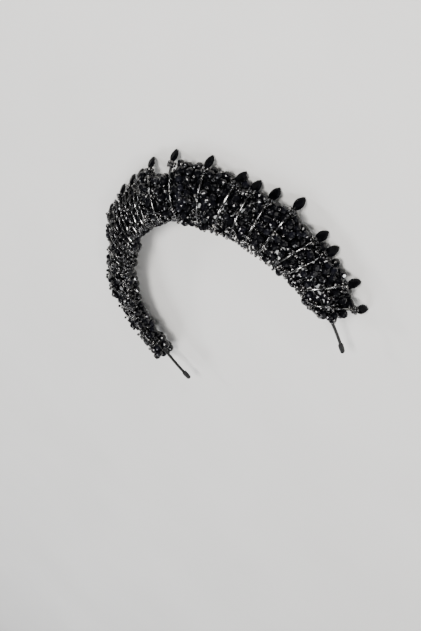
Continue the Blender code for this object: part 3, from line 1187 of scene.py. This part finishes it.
def put_stones(batch, shape, spots, spec, draw, most=None):
    """Beads at those spots that are free, and where they are."""
    placed = []
    for angle, point, facing in spots:
        radius = spec["diameter"] / 2.0 * draw.uniform(*STONE_SIZES)
        point = inside_box(point, radius)
        if most is not None and len(placed) >= most:
            break
        if not allowed(point, radius, angle) or not SIGHT.clear(point, radius):
            continue
        if not TAKEN.free(point, radius, spec["closeness"]):
            continue
        if most is not None and not TAKEN.touching(point, radius):
            continue
        direction = (random_direction(draw) + facing * STONE_FACING).normalized()
        put_ball(batch, shape, point, radius * 2.0, direction, 0, facing)
        placed.append((point, facing))
    return placed


def add_curl(batch, point, facing, draw):
    """A loose end of fine wire that arches over the stones."""
    along = facing.cross(random_direction(draw)).normalized()
    reach = draw.uniform(*CURL_REACHES)
    lift = draw.uniform(*CURL_LIFTS)
    points = []
    for n in range(CURL_STEPS + 1):
        share = n / CURL_STEPS
        rise = lift * math.sin(math.pi * share) - CURL_SUNK
        bend = facing.cross(along) * CURL_BEND * math.sin(2.0 * math.pi * share)
        points.append(point + along * reach * (share - 0.5) + facing * rise + bend)
    if all((inside_box(spot, LOOP_WIRE_RADIUS) - spot).length < SAME_PLACE for spot in points):
        batch.add(tube(points, LOOP_WIRE_RADIUS, LOOP_WIRE_SIDES), material=GUNMETAL)


def add_feeler(batch, stem, point):
    """A fine wire from the spray's stem to one stone."""
    distance = stem.length * FEELER_START_SHARE
    start = stem.point(distance)
    _, facing, _ = stem.axes(distance)
    middle = start.lerp(point, 0.5) - facing * FEELER_SAG
    batch.add(tube([start, middle, point], LOOP_WIRE_RADIUS, LOOP_WIRE_SIDES), material=WIRE)


def make_strands(number, rows, middle, half):
    """Strands of bugles and seed beads over one spray, as many as its gap has room for."""
    draw = random.Random(STRAND_DRAWS + number)
    batch = Batch()
    count = max(1, round(2.0 * half / STRANDS_APART) - 1)
    for n in range(count):
        stem = sheet_stem(rows, middle + half * (2.0 * (n + 1) / (count + 1) - 1.0))
        stem.start = stem.start + stem.bow * STRAND_HEIGHT
        high = stem.length * (stone_reach(middle)[1] - draw.uniform(*STRAND_TOP_ROOM))
        for _ in range(STRAND_BUGLES):
            low = high - draw.uniform(*STRAND_SEED_GAPS) * SEED_DIAMETER
            add_file(batch, stem, high, low, WIRE)
            add_bugle(batch, stem, low - BUGLE_LENGTH / 2.0)
            high = low - BUGLE_LENGTH
        add_file(batch, stem, high, 0.0, WIRE)
        add_twisted(batch, stem_path(stem, stem.length * STRAND_WIRE_SHARE))
        SIGHT.add_run(stem, high, stem.length * STRAND_COVER_SHARE, BUGLE_DIAMETER / 2.0)
    batch.piece(f"bugle_strands_{number:02d}", METALS, "gunmetal_beads")


def make_spray(number, rows, middle, half):
    """Layers of crystals in one gap, and crystals, seed beads and wires between them."""
    draw = random.Random(SPRAY_DRAWS + number)
    name = f"crystal_spray_{number:02d}"
    stem = spray_stem(rows, middle)
    span = (min(middle + half, STONE_END_ANGLE), max(middle - half, -STONE_END_ANGLE))
    share = (span[0] - span[1]) / COUNT_ANGLE
    stones, beads = Batch(), Batch()
    add_coil(beads, middle)
    wire_share = min(SPRAY_WIRE_MOST, SPRAY_WIRE_SHARE * stone_reach(middle)[1])
    add_twisted(beads, stem_path(stem, stem.length * wire_share))
    for layer in named_rows(LAYER_COLUMNS, CRYSTAL_LAYERS):
        placed = put_stones(stones, "crystal", layer_spots(rows, span, layer, draw), layer, draw)
    for point, _ in placed:
        add_feeler(beads, stem, point)
    for table, shape, batch in (
        (THROWN_CRYSTALS, "crystal", stones),
        (THROWN_SEEDS, "seed", beads),
    ):
        for spec in named_rows(THROWN_COLUMNS, table):
            spots = thrown_spots(rows, span, spec, draw)
            placed = put_stones(batch, shape, spots, spec, draw, round(spec["most"] * share))
    for point, facing in placed[:CURL_COUNT]:
        add_curl(beads, point, facing, draw)
    stones.piece(name + "_stones", [MATERIALS["jet"]], "black_crystal", [name])
    beads.piece(name + "_beads", METALS, "gunmetal_beads")


# Stage, lights and camera


def make_floor():
    material, shader = shader_material(
        "pale_floor", colour=(0.80, 0.79, 0.77), roughness=0.75, metallic=0.0
    )
    mottle = noise(material, scale=9.0, detail=6.0)
    stops = ((0.3, (0.77, 0.76, 0.74)), (0.7, (0.82, 0.81, 0.79)))
    set_shades(material, shader, mottle, "Fac", stops)
    half = FLOOR_HALF
    mesh = bpy.data.meshes.new("floor")
    corners = [(-half, -half, 0.0), (half, -half, 0.0), (half, half, 0.0), (-half, half, 0.0)]
    mesh.from_pydata(corners, [], [(0, 1, 2, 3)])
    mesh.materials.append(material)
    floor = bpy.data.objects.new("floor", mesh)
    bpy.context.scene.collection.objects.link(floor)
    floor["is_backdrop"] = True


def make_sun():
    """A weak, very soft light from all of one side, so that the floor is even far out."""
    data = bpy.data.lights.new("soft_sun", "SUN")
    data.energy = SUN_STRENGTH
    data.angle = math.radians(SUN_SPREAD)
    lamp = bpy.data.objects.new("soft_sun", data)
    lamp.rotation_euler = [math.radians(angle) for angle in SUN_TILT]
    bpy.context.scene.collection.objects.link(lamp)


def make_light(name, place, size, watts, colour):
    data = bpy.data.lights.new(name, "AREA")
    data.shape = "DISK"
    data.size = size
    data.energy = watts
    data.color = colour
    lamp = bpy.data.objects.new(name, data)
    lamp.location = place
    aim = Vector(LIGHT_AIM) - Vector(place)
    lamp.rotation_mode = "QUATERNION"
    lamp.rotation_quaternion = aim.to_track_quat("-Z", "Y")
    bpy.context.scene.collection.objects.link(lamp)


def make_camera():
    data = bpy.data.cameras.new("photo_camera")
    data.sensor_width = SENSOR
    data.lens = FOCAL_PIXELS / IMAGE_LONG_SIDE * SENSOR
    data.clip_start, data.clip_end = CLIP
    camera = bpy.data.objects.new("photo_camera", data)
    right, up = Vector(CAMERA_RIGHT).normalized(), Vector(CAMERA_UP)
    up = (up - right * up.dot(right)).normalized()
    camera.matrix_world = axes_matrix(
        ARCH_CENTRE + Vector(CAMERA_PLACE), right, up, right.cross(up)
    )
    bpy.context.scene.collection.objects.link(camera)
    bpy.context.scene.camera = camera


def make_world():
    world = bpy.data.worlds.new("studio")
    world.use_nodes = True
    background = world.node_tree.nodes["Background"]
    background.inputs["Color"].default_value = WORLD_COLOUR
    background.inputs["Strength"].default_value = WORLD_STRENGTH
    bpy.context.scene.world = world


make_camera()
make_world()
make_floor()
make_sun()
for light in LIGHTS:
    make_light(*light)

ROWS = sprig_rows()
make_headband()
make_cap("end_cap_left", 1.0)
make_cap("end_cap_right", -1.0)
for index, sprig_row in enumerate(ROWS, 1):
    make_sprig(index, sprig_row)
for index, (gap_middle, gap_half) in enumerate(spray_spans(ROWS), 1):
    if STRANDS_TO < gap_middle < STRANDS_FROM:
        make_strands(index, ROWS, gap_middle, gap_half)
for index, (gap_middle, gap_half) in enumerate(spray_spans(ROWS), 1):
    make_spray(index, ROWS, gap_middle, gap_half)

SHOWN_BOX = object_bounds()
[[list(corner) for corner in box] for box in (CAD_BOX, SHOWN_BOX)]
